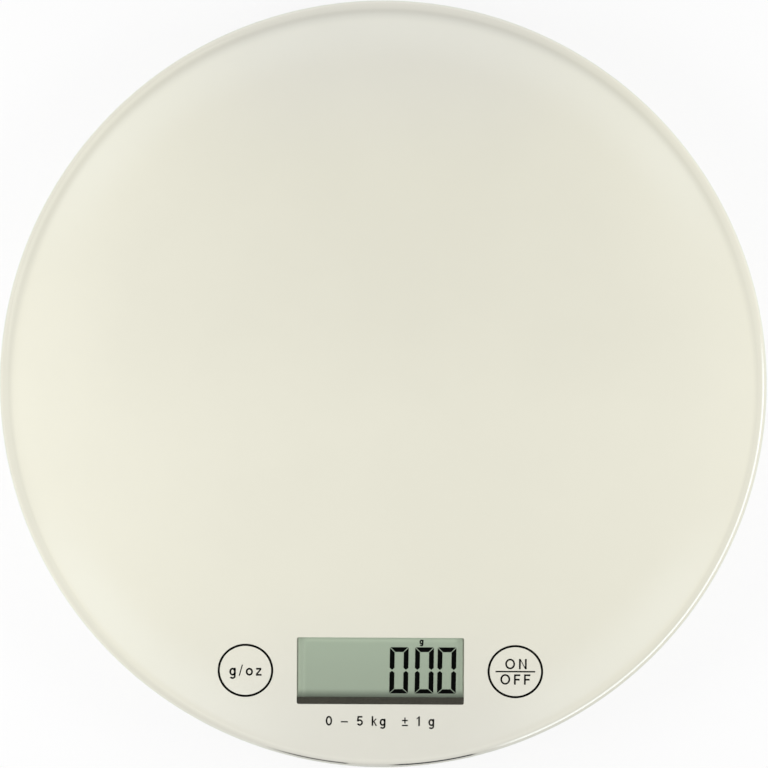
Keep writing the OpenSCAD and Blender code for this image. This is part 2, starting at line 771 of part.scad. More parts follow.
module lower_base() {
    color([0.93, 0.92, 0.88]) difference() {
        union() {
            translate([0, 0, floor_z0]) rotate_extrude() {
                shell_section(shell_r, base_wall_h, floor_t, base_corner);
                translate([lip_r - lip_t, floor_t - bite])
                    square([lip_t, lip_top - floor_z0 - floor_t + bite]);
            }
            translate([0, 0, floor_z1 - bite]) linear_extrude(base_top - floor_z1 + bite) difference() {
                rib_plan(lip_r - 0.7 * lip_t);
                board_zone(1.5);
                translate([0, battery_y]) circle(well_r - well_t / 2);
            }
            translate([0, 0, floor_z1 - bite]) linear_extrude(low_rib_top - floor_z1 + bite) difference() {
                rib_plan(lip_r - 0.7 * lip_t);
                translate([0, battery_y]) circle(well_r - well_t / 2);
            }
            for (i = [0:3]) at_foot(i) translate([0, 0, floor_z1 - bite])
                cylinder(h = tray_rib_z0 - stop_gap - floor_z1 + bite, d = stop_d);
            for (p = guide_places) translate([p[0], p[1], floor_z1 - bite])
                cylinder(h = wire_z + 0.5 - floor_z1 + bite, d = guide_d);
            at_battery() translate([0, 0, floor_z0]) rotate_extrude() well_section();
        }
        at_battery() well_room();
        for (i = [0:3]) at_foot(i) translate([0, 0, floor_z0 - 1])
            cylinder(h = foot_seat + 1, r = foot_d / 2 + fit);
        for (x = cell_screw_x) translate([-x, 0, floor_z0]) mirror([0, 0, 1]) flat_screw_hole(floor_t);
    }
}

// Rubber foot: a flat disc with a rounded rim, pressed into its pocket
module foot(i) {
    rim = min(1.2, foot_stand / 2);
    color([0.30, 0.30, 0.30]) at_foot(i) rotate_extrude()
        pan_section(foot_d / 2, foot_stand + foot_seat, rim);
}

module coin_cell_can() {
    color([0.76, 0.77, 0.78]) at_battery() translate([0, 0, coin_z0]) difference() {
        cylinder(h = coin_h - 0.3, r = coin_r);
        translate([0, 0, coin_wall]) cylinder(h = coin_h, r = coin_r - coin_wall);
    }
}

module coin_cell_seal() {
    color([0.20, 0.20, 0.22]) at_battery() translate([0, 0, coin_z0 + coin_wall])
        linear_extrude(coin_h - 0.2 - coin_wall) ring_plan(coin_r - coin_wall, coin_r - 0.8);
}

module coin_cell_cap() {
    color([0.78, 0.79, 0.80]) at_battery() {
        translate([0, 0, coin_z0 + coin_wall]) cylinder(h = coin_h - 0.2 - coin_wall, r = coin_r - 0.8);
        translate([0, 0, coin_z1 - 0.3]) cylinder(h = 0.3, r = coin_r - 1.2);
    }
}

// Flat strip of constant height along points (radius, height), lying across the X axis
module strip(points) {
    n = len(points);
    outline = concat(points, [for (i = [n - 1:-1:0]) points[i] + [0, contact_t]]);
    translate([0, contact_w / 2, 0]) rotate([90, 0, 0]) linear_extrude(contact_w) polygon(outline);
}

// Tab that lies on the roof of the well, with the leg that goes down through its slot
module contact_tab(leg_z0) {
    difference() {
        translate([tab_r, -contact_w / 2, well_top])
            cube([leg_r + contact_t - tab_r, contact_w, contact_t]);
        translate([tab_r + 2.4, 0, well_top - 1]) cylinder(h = 3, d = 1.2);
    }
    translate([leg_r, -contact_w / 2, leg_z0]) cube([contact_t, contact_w, well_top - leg_z0 + bite]);
}

module positive_contact() {
    color([0.83, 0.80, 0.70]) at_battery() rotate(positive_angle) contact_tab(channel_z1 + 0.1);
}

module negative_contact() {
    leaf_z = well_roof_z - contact_t;
    color([0.83, 0.80, 0.70]) at_battery() rotate(negative_angle) {
        contact_tab(leaf_z);
        strip([[leg_r + contact_t, leaf_z], [coin_r - 3, leaf_z], [3, coin_z1 + 0.1],
            [0, coin_z1 + 0.05], [-2, coin_z1 + 0.35]]);
    }
}

// Cover with a coin slot outside, and a collar with bayonet lugs inside
module battery_cover() {
    lug_z0 = channel_z0 + 0.1;
    color([0.90, 0.89, 0.85]) at_battery() difference() {
        union() {
            translate([0, 0, floor_z0]) cylinder(h = cover_t, r = cover_r);
            translate([0, 0, floor_z0]) linear_extrude(lug_z0 + lug_t - floor_z0)
                ring_plan(collar_r, collar_r0);
            for (i = [0:lug_count - 1]) rotate(i * 360 / lug_count - lug_angle / 2)
                rotate_extrude(angle = lug_angle) translate([collar_r - bite, lug_z0])
                    square([lug_reach + bite, lug_t]);
        }
        rotate(90) translate([-coin_r * 0.9, -1, floor_z0 - 1]) cube([coin_r * 1.8, 2, 1.7]);
    }
}

glass_platter();
enamel_print();
mounting_tape();
platform_tray();
display_gasket();
lcd_front_film();
lcd_front_glass();
lcd_rear_glass();
lcd_rear_film();
zebra_strip();
display_frame();
circuit_board();
chip_coating();
board_components();
left_key_spring();
right_key_spring();
board_screws();
cell_tray_plate();
cell_tray_screws();
lower_base();
load_cell();
gauge_coating();
cell_base_plate();
cell_base_screws();
foot(0);  // foot_front_left
foot(1);  // foot_front_right
foot(2);  // foot_rear_left
foot(3);  // foot_rear_right
coin_cell_can();
coin_cell_seal();
coin_cell_cap();
positive_contact();
negative_contact();
load_cell_wires();
battery_wires();
battery_cover();
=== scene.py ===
import math

import bpy
import numpy as np
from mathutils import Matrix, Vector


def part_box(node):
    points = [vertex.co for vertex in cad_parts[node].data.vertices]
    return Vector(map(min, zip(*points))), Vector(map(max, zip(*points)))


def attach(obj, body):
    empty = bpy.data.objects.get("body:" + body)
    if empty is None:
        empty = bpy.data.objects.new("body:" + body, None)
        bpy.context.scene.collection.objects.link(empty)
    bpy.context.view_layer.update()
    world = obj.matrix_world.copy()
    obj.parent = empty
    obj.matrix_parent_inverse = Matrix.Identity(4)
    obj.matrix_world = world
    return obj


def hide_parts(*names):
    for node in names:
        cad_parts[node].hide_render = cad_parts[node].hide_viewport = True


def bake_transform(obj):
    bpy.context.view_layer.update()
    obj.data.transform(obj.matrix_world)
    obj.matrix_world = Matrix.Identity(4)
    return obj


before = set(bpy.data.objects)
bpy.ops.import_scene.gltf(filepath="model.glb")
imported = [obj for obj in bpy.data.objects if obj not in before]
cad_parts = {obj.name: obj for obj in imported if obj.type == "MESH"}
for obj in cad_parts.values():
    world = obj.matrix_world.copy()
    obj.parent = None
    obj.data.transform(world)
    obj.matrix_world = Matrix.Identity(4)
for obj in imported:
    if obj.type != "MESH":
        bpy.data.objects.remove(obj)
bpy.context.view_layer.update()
mm = 0.001


# New piece of points in metres and faces, with its finish, body and the nodes it stands for
def meshPiece(name, points, faces, body=None, finish=None, instead=(), smoothTo=35):
    mesh = bpy.data.meshes.new(name)
    mesh.from_pydata(points, [], faces)
    mesh.polygons.foreach_set("use_smooth", np.ones(len(mesh.polygons), bool))
    mesh.set_sharp_from_angle(angle=math.radians(smoothTo))
    mesh.update()
    piece = bpy.data.objects.new(name, mesh)
    bpy.context.scene.collection.objects.link(piece)
    if finish:
        mesh.materials.append(finish)
    if body:
        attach(piece, body)
    if instead:
        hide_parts(*instead)
    return piece


# Merges points that round to the same place, and drops the faces that this leaves without an area
def welded(points, faces, rounding=1e-7):
    grid = np.round(points / rounding).astype(np.int64)
    _, first, place = np.unique(grid, axis=0, return_index=True, return_inverse=True)
    place = place.ravel()
    kept = []
    for sides in {len(face) for face in faces}:
        block = place[np.array([face for face in faces if len(face) == sides])]
        twins = block == np.roll(block, -1, axis=1)
        kept += block[twins.sum(axis=1) == 0].tolist()
        kept += [row[~twin].tolist() for row, twin in
                 zip(block[twins.sum(axis=1) == 1], twins[twins.sum(axis=1) == 1]) if sides > 3]
    return points[first], kept


# Quads between the neighbours of a grid of points, which may close on itself both ways
def gridFaces(rows, columns, wrapRows=False, wrapColumns=False, start=0):
    index = np.arange(rows * columns).reshape(rows, columns) + start
    index = np.vstack([index, index[:1]]) if wrapRows else index
    index = np.hstack([index, index[:, :1]]) if wrapColumns else index
    corners = [index[:-1, :-1], index[1:, :-1], index[1:, 1:], index[:-1, 1:]]
    return np.stack(corners, axis=-1).reshape(-1, 4).tolist()


# Surface of revolution about a vertical axis: profile of (radius, height), each at all angles
def turned(profile, centre=(0, 0), steps=256):
    angle = np.linspace(0, 2 * np.pi, steps, endpoint=False)
    radius, height = np.array(profile, float).T
    x = centre[0] + np.outer(np.cos(angle), radius)
    y = centre[1] + np.outer(np.sin(angle), radius)
    z = np.broadcast_to(height, x.shape)
    points = np.stack([x, y, z], axis=-1).reshape(-1, 3)
    return welded(points, gridFaces(steps, len(profile), wrapRows=True))


# Points of an arc from one angle to another, in degrees, both ends included
def arc(centre, radius, start, end, steps):
    angle = np.radians(np.linspace(start, end, steps))
    return np.stack([np.cos(angle), np.sin(angle)], axis=-1) * radius + centre


# Smooth curve through a route: Catmull-Rom between the inner points, straight leads at the ends
def smoothRoute(route, steps):
    p = np.array(route, float)
    t = (np.arange(steps) / steps)[None, :, None]
    a, b, c, d = p[:-3, None], p[1:-2, None], p[2:-1, None], p[3:, None]
    curve = b + (c - a) * t / 2 + (2 * a - 5 * b + 4 * c - d) * t**2 / 2 \
        + (3 * b - a - 3 * c + d) * t**3 / 2
    return np.vstack([p[:1], curve.reshape(-1, 3), p[-2:]])


# Round wire along a path: circles square to the path, closed by a cap at each end
def wire(path, diameter, sides=14):
    path = np.array(path, float)
    ahead = np.gradient(path, axis=0)
    ahead /= np.linalg.norm(ahead, axis=1)[:, None]
    slanting = (0.53, 0.41, 0.74)  # a direction that no path here runs in
    side = np.cross(ahead, slanting)
    side /= np.linalg.norm(side, axis=1)[:, None]
    over = np.cross(ahead, side)
    angle = np.linspace(0, 2 * np.pi, sides, endpoint=False)[None, :, None]
    ring = np.cos(angle) * side[:, None] + np.sin(angle) * over[:, None]
    points = (path[:, None] + ring * diameter / 2).reshape(-1, 3)
    last = len(points) - sides
    faces = gridFaces(len(path), sides, wrapColumns=True)
    faces += [list(range(sides)), list(range(last + sides - 1, last - 1, -1))]
    return points, [face[::-1] for face in faces]


# Flat plates with the given outlines, each a prism from one height to another
def plates(outlines, low, high):
    points, faces = [], []
    for outline in outlines:
        outline = np.array(outline, float)
        x, y = outline.T
        if (x * np.roll(y, -1) - y * np.roll(x, -1)).sum() < 0:  # it runs clockwise
            outline = outline[::-1]
        n, start = len(outline), sum(map(len, points))
        for z in (low, high):
            points.append(np.column_stack([outline, np.full(n, z)]))
        faces += [face[::-1] for face in gridFaces(2, n, wrapColumns=True, start=start)]
        faces += [list(range(start + n, start + 2 * n)), list(range(start + n - 1, start - 1, -1))]
    return np.vstack(points), faces


# Flat bands along plane paths: each side of a path is moved by half the width along its mitre
def bands(paths, width, low, high):
    points, faces = [], []
    for path in paths:
        path = np.array(path, float)
        loop = np.allclose(path[0], path[-1])
        ahead = np.diff(path, axis=0)
        ahead /= np.linalg.norm(ahead, axis=1)[:, None]
        ends = (ahead[-1:], ahead[:1]) if loop else (ahead[:1], ahead[-1:])
        before, after = np.vstack([ends[0], ahead]), np.vstack([ahead, ends[1]])
        mitre = (before + after) / (1 + (before * after).sum(axis=1))[:, None]
        left = np.column_stack([-mitre[:, 1], mitre[:, 0]]) * width / 2
        if loop:
            path, left = path[:-1], left[:-1]
        n, start = len(path), sum(map(len, points))
        corners = [np.column_stack([path + way * left, np.full(n, z)])
                   for way, z in ((1, low), (-1, low), (-1, high), (1, high))]
        points.append(np.stack(corners, axis=1).reshape(-1, 3))
        faces += gridFaces(n, 4, wrapRows=loop, wrapColumns=True, start=start)
        if not loop:
            last = start + 4 * n - 4
            faces += [[start, start + 1, start + 2, start + 3],
                      [last + 3, last + 2, last + 1, last]]
    return np.vstack(points), faces


# Two meshes as one
def together(first, second):
    points = np.vstack([first[0], second[0]])
    return points, first[1] + [[k + len(first[0]) for k in face] for face in second[1]]


# Fine copy of a CAD node: its loose triangles joined, so that round faces shade smoothly
def joined(node):
    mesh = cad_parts[node].data
    points = np.empty(len(mesh.vertices) * 3)
    mesh.vertices.foreach_get("co", points)
    corners = np.empty(len(mesh.loops), int)
    mesh.loops.foreach_get("vertex_index", corners)
    return welded(points.reshape(-1, 3), corners.reshape(-1, 3).tolist())


class Value:  # one socket of a shader, so that shader maths reads as plain expressions
    def __init__(self, paint, socket):
        self.paint, self.socket = paint, socket

    def maths(self, operation, first, second=None):
        values = {0: first} if second is None else {0: first, 1: second}
        return self.paint.add("ShaderNodeMath", {"operation": operation}, values)

    def __add__(self, other):
        return self.maths("ADD", self, other)

    def __sub__(self, other):
        return self.maths("SUBTRACT", self, other)

    def __rsub__(self, other):
        return self.maths("SUBTRACT", other, self)

    def __mul__(self, other):
        return self.maths("MULTIPLY", self, other)

    def __truediv__(self, other):
        return self.maths("DIVIDE", self, other)

    def __pow__(self, other):
        return self.maths("POWER", self, other)

    def __abs__(self):
        return self.maths("ABSOLUTE", self)

    __radd__, __rmul__ = __add__, __mul__

    def atLeast(self, other):
        return self.maths("MAXIMUM", self, other)

    def step(self, low, high):  # 0 below low, 1 above high, smooth between them
        return self.paint.add("ShaderNodeMapRange", {"interpolation_type": "SMOOTHSTEP"},
                              {0: self, 1: low, 2: high})

    def between(self, start, full, fades, end):  # 1 from full to fades, 0 outside start and end
        return self.step(start, full) * (1 - self.step(fades, end))


socketNames = {"baseColor": "Base Color", "roughness": "Roughness", "metallic": "Metallic",
               "ior": "IOR", "normal": "Normal", "coatWeight": "Coat Weight",
               "transmissionWeight": "Transmission Weight", "emissionColor": "Emission Color",
               "emissionStrength": "Emission Strength"}


class Paint:  # a material or world that is being put together
    def __init__(self, name, tree=None):
        if tree is None:
            self.material = bpy.data.materials.new(name)
            self.material.use_nodes = True
            tree = self.material.node_tree
        self.tree = tree
        self.tree.nodes.clear()

    def add(self, kind, settings=None, values=None, out=0):
        node = self.tree.nodes.new(kind)
        for key, value in (settings or {}).items():
            setattr(node, key, value)
        for key, value in (values or {}).items():
            if isinstance(value, Value):
                self.tree.links.new(value.socket, node.inputs[key])
            else:
                node.inputs[key].default_value = value
        return Value(self, node.outputs[out]) if node.outputs else node

    def place(self):
        return self.add("ShaderNodeTexCoord", out="Object")

    def axes(self):  # object coordinates in millimetres
        split = self.add("ShaderNodeSeparateXYZ", None, {0: self.place()})
        return [Value(self, socket) / mm for socket in split.socket.node.outputs]

    def rays(self, *kinds):  # 1 for light paths of any of these kinds
        outs = self.add("ShaderNodeLightPath").socket.node.outputs
        share, *others = [Value(self, outs["Is " + kind + " Ray"]) for kind in kinds]
        for other in others:
            share = share.atLeast(other)
        return share

    def noise(self, size, detail=2.0, rough=0.5, stretch=(1, 1, 1)):  # size of a blotch in mm
        scaled = self.add("ShaderNodeMapping", None, {0: self.place(), 3: stretch})
        return self.add("ShaderNodeTexNoise", None, {"Vector": scaled, "Scale": 1 / (size * mm),
                                                     "Detail": detail, "Roughness": rough})

    def cells(self, size):  # 0 in the middle of each cell, size of a cell in mm
        return self.add("ShaderNodeTexVoronoi", None,
                        {"Vector": self.place(), "Scale": 1 / (size * mm)})

    def blend(self, share, first, second):
        return self.add("ShaderNodeMix", {"data_type": "RGBA"}, {0: share, 6: first, 7: second}, 2)

    def bump(self, height, depth, strength=1.0):  # depth in mm of a full step of height
        return self.add("ShaderNodeBump", None,
                        {"Height": height, "Distance": depth * mm, "Strength": strength})

    def surface(self, **values):
        return self.add("ShaderNodeBsdfPrincipled", None,
                        {socketNames[key]: value for key, value in values.items()})

    def finish(self, shader):
        self.add("ShaderNodeOutputMaterial", None, {0: shader})
        return self.material


def rgb(red, green, blue):  # screen colour from 0 to 255, made linear
    return tuple(((c / 255 + 0.055) / 1.055) ** 2.4 for c in (red, green, blue)) + (1,)


def shade(colour, factor):  # the same colour, darker or lighter
    return tuple(c * factor for c in colour[:3]) + (1,)


def radiusOf(x, y):  # distance from the vertical axis
    return (x * x + y * y) ** 0.5


# Mottled colour between two shades of one colour
def mottled(paint, colour, size, spread=0.06, **options):
    share = paint.noise(size, **options).step(0.3, 0.7)
    return paint.blend(share, shade(colour, 1 - spread), shade(colour, 1 + spread))


# Enamel: colours, then the places of what shows in it, in mm from the middle. A pair is where
# something starts and is full, and four numbers are where it starts, is full, fades and ends
# Painted light and shade in it: the grey is a painted grey reflection at the front and back, the
# rear share is painted shade behind the middle, and the outer ring is painted light
enamelLook = {
    "colour": (0.828, 0.7985, 0.690, 1), "grey": (0.785, 0.7605, 0.687, 1),
    "greyY": (50, 92), "greyX": (20, 75), "cloudSize": 24, "cloud": 0.012,
    "rough": 0.42, "roughSpread": 0.1, "roughSize": 6,
    "rearY": (-15, 20), "rearRadius": (66, 90), "rear": 0.028,
    "outer": (82, 94, 96, 97.6), "outerY": (25, 60), "outerFrontX": (15, 50), "outerShare": 0.2,
}
rimLook = {  # soft shade under the rounded edge: rise and fall are in widths of it
    "frontRadius": 98.5, "rearRadius": 97.1, "width": 0.5, "widerBehind": 2.2, "across": 200,
    "rise": (-1, 0), "fall": (0.05, 0.6), "leftX": (-75, -25), "leftRear": (0.25, 0.45),
    "leftKeeps": 0.6, "depth": 0.15, "sideShare": 0.6, "endShare": 0.4,
}
borderShadeLook = {  # painted shade in thin dark lines along the border, seen through the edge, and a painted highlight line
    # the dark lines, the soft front band and the left flank are painted shade
    "frontY": (-60, -50), "dark": (98.36, 98.40, 98.46, 98.50),
    "leftX": (-31, -21, -9.5, -8), "leftDepth": 0.6, "rightX": (1, 6, 22.5, 25), "rightDepth": 0.9,
    "soft": (98.30, 98.46), "softX": (24, 34), "softDepth": 0.12,
    "flank": (94.5, 97.8), "flankX": (-92, -75), "flankY": (-60, -20), "flankDepth": 0.045,
    # the pale band is a painted highlight line, with painted shade just outside it; the last colour
    # is that of the painted highlight line and of the painted paler ring
    "pale": (98.20, 98.25, 98.38, 98.42), "beyondPale": (98.42, 98.46), "beyondDepth": 0.07,
    "paintedLightColour": (0.98, 0.98, 0.93, 1), "sectorAim": (0.84, -0.55), "sector": (74, 82),
}


# Shade that is deepest at a radius which shrinks from the front to the back, while its width grows:
# it rises over one width before that radius and falls after it, less so at the left
def rimShade(x, y, radius):
    back = 0.5 + y / rimLook["across"]  # 0 at the front, 1 at the back
    front, narrower = rimLook["frontRadius"], rimLook["frontRadius"] - rimLook["rearRadius"]
    beyond = (radius - front + back * narrower) / (rimLook["width"] + rimLook["widerBehind"] * back)
    left = (1 - x.step(*rimLook["leftX"])) * back.step(*rimLook["leftRear"])
    fade = 1 - rimLook["leftKeeps"] * left
    rim = beyond.step(*rimLook["rise"]) * (1 - fade * beyond.step(*rimLook["fall"]))
    ends = rimLook["sideShare"] + rimLook["endShare"] * (back * 2 - 1) ** 2
    return rim * ends * rimLook["depth"]


# Painted shade in dark lines along the border, and the share of a painted highlight line beside
# them
def borderShadeAndHighlight(x, y, radius):
    look = borderShadeLook
    front = 1 - y.step(*look["frontY"])
    arcs = x.between(*look["leftX"]) * look["leftDepth"] \
        + x.between(*look["rightX"]) * look["rightDepth"]
    dark = radius.between(*look["dark"]) * front * arcs
    middle = front * (1 - abs(x).step(*look["softX"]))
    dark = dark + radius.step(*look["soft"]) * middle * look["softDepth"]
    flank = (1 - x.step(*look["flankX"])) * y.step(*look["flankY"])
    dark = dark + radius.step(*look["flank"]) * flank * look["flankDepth"]
    aimX, aimY = look["sectorAim"]
    sector = (x * aimX + y * aimY).step(*look["sector"])  # to the right and the front right
    dark = dark + radius.step(*look["beyondPale"]) * sector * look["beyondDepth"]
    return dark, radius.between(*look["pale"]) * sector


# Screen-printed enamel: even, with a faint cloudiness. Painted light and shade on it: greyer at the
# front and back by a painted grey reflection, a little darker behind the middle, paler in a broad
# ring towards the edge, shade under the rounded edge, and dark lines and a highlight line along the
# border
def creamEnamel():
    paint, look = Paint("creamEnamel"), enamelLook
    x, y, _ = paint.axes()
    radius = radiusOf(x, y)
    dark, pale = borderShadeAndHighlight(x, y, radius)
    cloud = paint.noise(look["cloudSize"], detail=3).step(0.3, 0.7) * look["cloud"]
    # A painted grey reflection makes the enamel greyer towards the front and back
    greyReflection = abs(y).step(*look["greyY"]) * (1 - abs(x).step(*look["greyX"]))
    # Painted shade: a little darker behind the middle
    rear = y.step(*look["rearY"]) * (1 - radius.step(*look["rearRadius"])) * (1 - greyReflection)
    # Painted light: a paler broad ring towards the edge, less of it at the front middle
    outer = radius.between(*look["outer"]) * abs(y).step(*look["outerY"])
    front = (1 - y.step(*borderShadeLook["frontY"])) * (1 - abs(x).step(*look["outerFrontX"]))
    outer = outer * (1 - front) * look["outerShare"]
    # Painted shade under the rim, along the border and behind the middle, with the real faint
    # cloudiness
    darker = rimShade(x, y, radius) + cloud + dark + rear * look["rear"]
    colour = paint.blend(greyReflection, look["colour"], look["grey"])
    colour = paint.blend(darker, colour, (0, 0, 0, 1))
    # Painted light: the highlight line along the border and the paler ring towards the edge
    colour = paint.blend(pale + outer, colour, borderShadeLook["paintedLightColour"])
    rough = look["rough"] + look["roughSpread"] * paint.noise(look["roughSize"])
    return paint.finish(paint.surface(baseColor=colour, roughness=rough, ior=1.3))


# Glass: its rim shows greener from radius to radius, and from the second height down to the first
glassLook = {"rimRadius": (99.0, 99.5), "rimHeight": (17.8, 19.0), "smearSize": 30, "smear": 0.02,
             "passes": 0.96}


# Polished glass: light and bounce light pass straight, so what is under it is lit evenly
def clearGlass(name, tint, rough=0.004, rimTint=None):
    paint = Paint(name)
    colour = tint
    if rimTint:
        x, y, z = paint.axes()
        rim = radiusOf(x, y).step(*glassLook["rimRadius"]) * (1 - z.step(*glassLook["rimHeight"]))
        colour = paint.blend(rim, tint, rimTint)
    smear = paint.noise(glassLook["smearSize"], detail=4, stretch=(1, 3, 1)).step(0.45, 0.75)
    glass = paint.surface(baseColor=colour, roughness=rough + glassLook["smear"] * smear,
                          transmissionWeight=1.0, ior=1.5)
    clear = paint.add("ShaderNodeBsdfTransparent", None, {0: shade(tint, glassLook["passes"])})
    return paint.finish(paint.add("ShaderNodeMixShader", None,
                                  {0: paint.rays("Shadow", "Diffuse"), 1: glass, 2: clear}))


# Printing ink: near black, with the slight unevenness of a screen print
def printInk():
    paint = Paint("printInk")
    colour = mottled(paint, rgb(12, 11, 9), 0.6, 0.15)
    return paint.finish(paint.surface(baseColor=colour, roughness=0.5, ior=1.05))


plasticLook = {"grain": 0.35, "depth": 0.012, "rough": 0.45, "roughSpread": 0.16, "roughSize": 9,
               "spread": 0.03, "spreadSize": 14}


# Moulded plastic with a fine spark-eroded grain
def mouldedPlastic(name, colour, **own):
    paint, look = Paint(name), {**plasticLook, **own}
    grain = paint.noise(look["grain"], detail=3, rough=0.6)
    patches = paint.noise(look["roughSize"], detail=3)
    body = mottled(paint, colour, look["spreadSize"], look["spread"], detail=4)
    return paint.finish(paint.surface(
        baseColor=body, roughness=look["rough"] + look["roughSpread"] * patches,
        normal=paint.bump(grain, look["depth"], 0.6)))


rubberLook = {"dust": (0.35, 0.33, 0.30, 1), "dustSize": 3, "dustShare": 0.25, "rough": 0.72,
              "roughSpread": 0.15, "depth": 0.01}


# Rubber: matt, dusty in patches, with a faint pebbled skin
def mattRubber(name, colour, pebble=0.5):
    paint, look = Paint(name), rubberLook
    dust = paint.noise(look["dustSize"], detail=5, rough=0.7).step(0.5, 0.8) * look["dustShare"]
    return paint.finish(paint.surface(
        baseColor=paint.blend(dust, colour, look["dust"]),
        roughness=look["rough"] + look["roughSpread"] * paint.noise(2),
        normal=paint.bump(paint.cells(pebble), look["depth"], 0.5)))


foamLook = {"bubble": 0.25, "inBubble": 0.5, "onWall": 1.3, "depth": 0.04,
            "pale": rgb(176, 182, 164), "paleShare": 0.5, "paleWithin": 0.5}


# Closed-cell foam: small open bubbles along its cut faces, and paler behind a line across it
def cutFoam(name, colour, paleBehind=None):
    paint, look = Paint(name), foamLook
    bubble = paint.cells(look["bubble"]).step(0.1, 0.5)
    body = paint.blend(bubble, shade(colour, look["inBubble"]), shade(colour, look["onWall"]))
    if paleBehind is not None:
        _, y, _ = paint.axes()
        behind = y.step(paleBehind, paleBehind + look["paleWithin"]) * look["paleShare"]
        body = paint.blend(behind, body, look["pale"])
    return paint.finish(paint.surface(baseColor=body, roughness=0.9,
                                      normal=paint.bump(bubble, look["depth"])))


displayLook = {
    "colour": rgb(150, 160, 144), "back": rgb(155, 166, 149), "backShare": (0.35, 1.0),
    # The face has a painted glow: it gives off a little light of its own colour
    "paintedGlow": 0.3, "dark": (0.02, 0.024, 0.02, 1), "frontShade": 0.60, "frontY": (-81.9, -79.3),
    "cell": 0.2, "cells": 0.03,
    # painted light at the left, right and rear edges of what the window shows, lifting the shade of
    # its recess
    "paintedEdgeLight": rgb(200, 212, 192), "paintedEdgeLightShare": 0.72, "edges": (-22.0, 21.2, -66.2),
    "sideReach": (0.1, 2.6), "rearReach": (0.1, 1.8), "rightShare": 0.55, "rearShare": 0.6,
}


# Display face: grey-green, lighter towards the back, with a fine lattice of unlit segments, painted
# shade along its front edge, painted light along its other edges, and a painted glow of its own
def displayFace():
    paint, look = Paint("displayFace"), displayLook
    low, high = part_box("lcd_front_film")
    x, y, _ = paint.axes()
    share = ((y - low.y / mm) / ((high.y - low.y) / mm)).step(*look["backShare"])
    body = paint.blend(share, look["colour"], look["back"])
    left, right, rear = look["edges"]
    # Painted light along the left, right and rear edges
    paintedEdgeLight = (1 - (x - left).step(*look["sideReach"])) \
        .atLeast((1 - (right - x).step(*look["sideReach"])) * look["rightShare"]) \
        .atLeast((1 - (rear - y).step(*look["rearReach"])) * look["rearShare"])
    body = paint.blend(paintedEdgeLight * look["paintedEdgeLightShare"], body, look["paintedEdgeLight"])
    lattice = paint.noise(look["cell"], detail=1) * look["cells"]
    # Painted shade along the front edge, together with the real unlit segments
    dark = lattice.atLeast((1 - y.step(*look["frontY"])) * look["frontShade"])
    colour = paint.blend(dark, body, look["dark"])
    return paint.finish(paint.surface(baseColor=colour, emissionColor=colour,
                                      emissionStrength=look["paintedGlow"],
                                      roughness=0.32 + 0.05 * paint.noise(4), ior=1.2))


metalLook = {"rough": 0.32, "roughSpread": 0.18, "stretch": (1, 12, 1), "line": 2.0,
             "spread": 0.08, "spreadSize": 3, "depth": 0.004}


# Metal sheet or wire: brushed along one axis, with faint stains
def plainMetal(name, colour, **own):
    paint, look = Paint(name), {**metalLook, **own}
    lines = paint.noise(look["line"], detail=4, rough=0.65, stretch=look["stretch"])
    return paint.finish(paint.surface(
        baseColor=mottled(paint, colour, look["spreadSize"], look["spread"], detail=3),
        metallic=1.0, roughness=look["rough"] + look["roughSpread"] * lines,
        normal=paint.bump(lines, look["depth"], 0.4)))


boardLook = {"mask": (0.018, 0.115, 0.045, 1), "track": (0.06, 0.26, 0.09, 1), "trackShare": 0.6,
             "trackHeight": 0.03, "density": 260.0}


# Circuit board: green mask over copper tracks, which stand out a little and show lighter
def circuitBoard():
    paint, look = Paint("circuitBoard"), boardLook
    maze = paint.add("ShaderNodeTexBrick", {"offset": 0.35, "squash": 1.7, "squash_frequency": 3},
                     {"Vector": paint.place(), "Scale": look["density"], "Mortar Size": 0.12,
                      "Mortar Smooth": 0.1, "Color1": (0, 0, 0, 1), "Color2": (0, 0, 0, 1),
                      "Mortar": (1, 1, 1, 1)}, out="Fac")
    mask = mottled(paint, look["mask"], 5, 0.12)
    colour = paint.blend(maze * look["trackShare"], mask, look["track"])
    return paint.finish(paint.surface(baseColor=colour, roughness=0.3 + 0.1 * paint.noise(3),
                                      coatWeight=0.4,
                                      normal=paint.bump(maze, look["trackHeight"], 0.5)))


partsLook = {"block": 2.4, "body": (0.02, 0.02, 0.022, 1), "ceramic": (0.34, 0.25, 0.16, 1)}


# Small parts on the board: black moulded bodies and brown ceramic ones, by block
def smallParts():
    paint, look = Paint("smallParts"), partsLook
    tone = paint.cells(look["block"]).step(0.2, 0.9)
    colour = paint.blend(tone, look["body"], look["ceramic"])
    return paint.finish(paint.surface(baseColor=colour, roughness=0.4 + 0.15 * paint.noise(1)))


# Resin dome over the chip: black, glossy, set in slow waves
def resinDome():
    paint = Paint("resinDome")
    colour = mottled(paint, (0.012, 0.012, 0.012, 1), 2, 0.2)
    return paint.finish(paint.surface(baseColor=colour, roughness=0.12 + 0.1 * paint.noise(1),
                                      normal=paint.bump(paint.noise(3), 0.05, 0.4)))


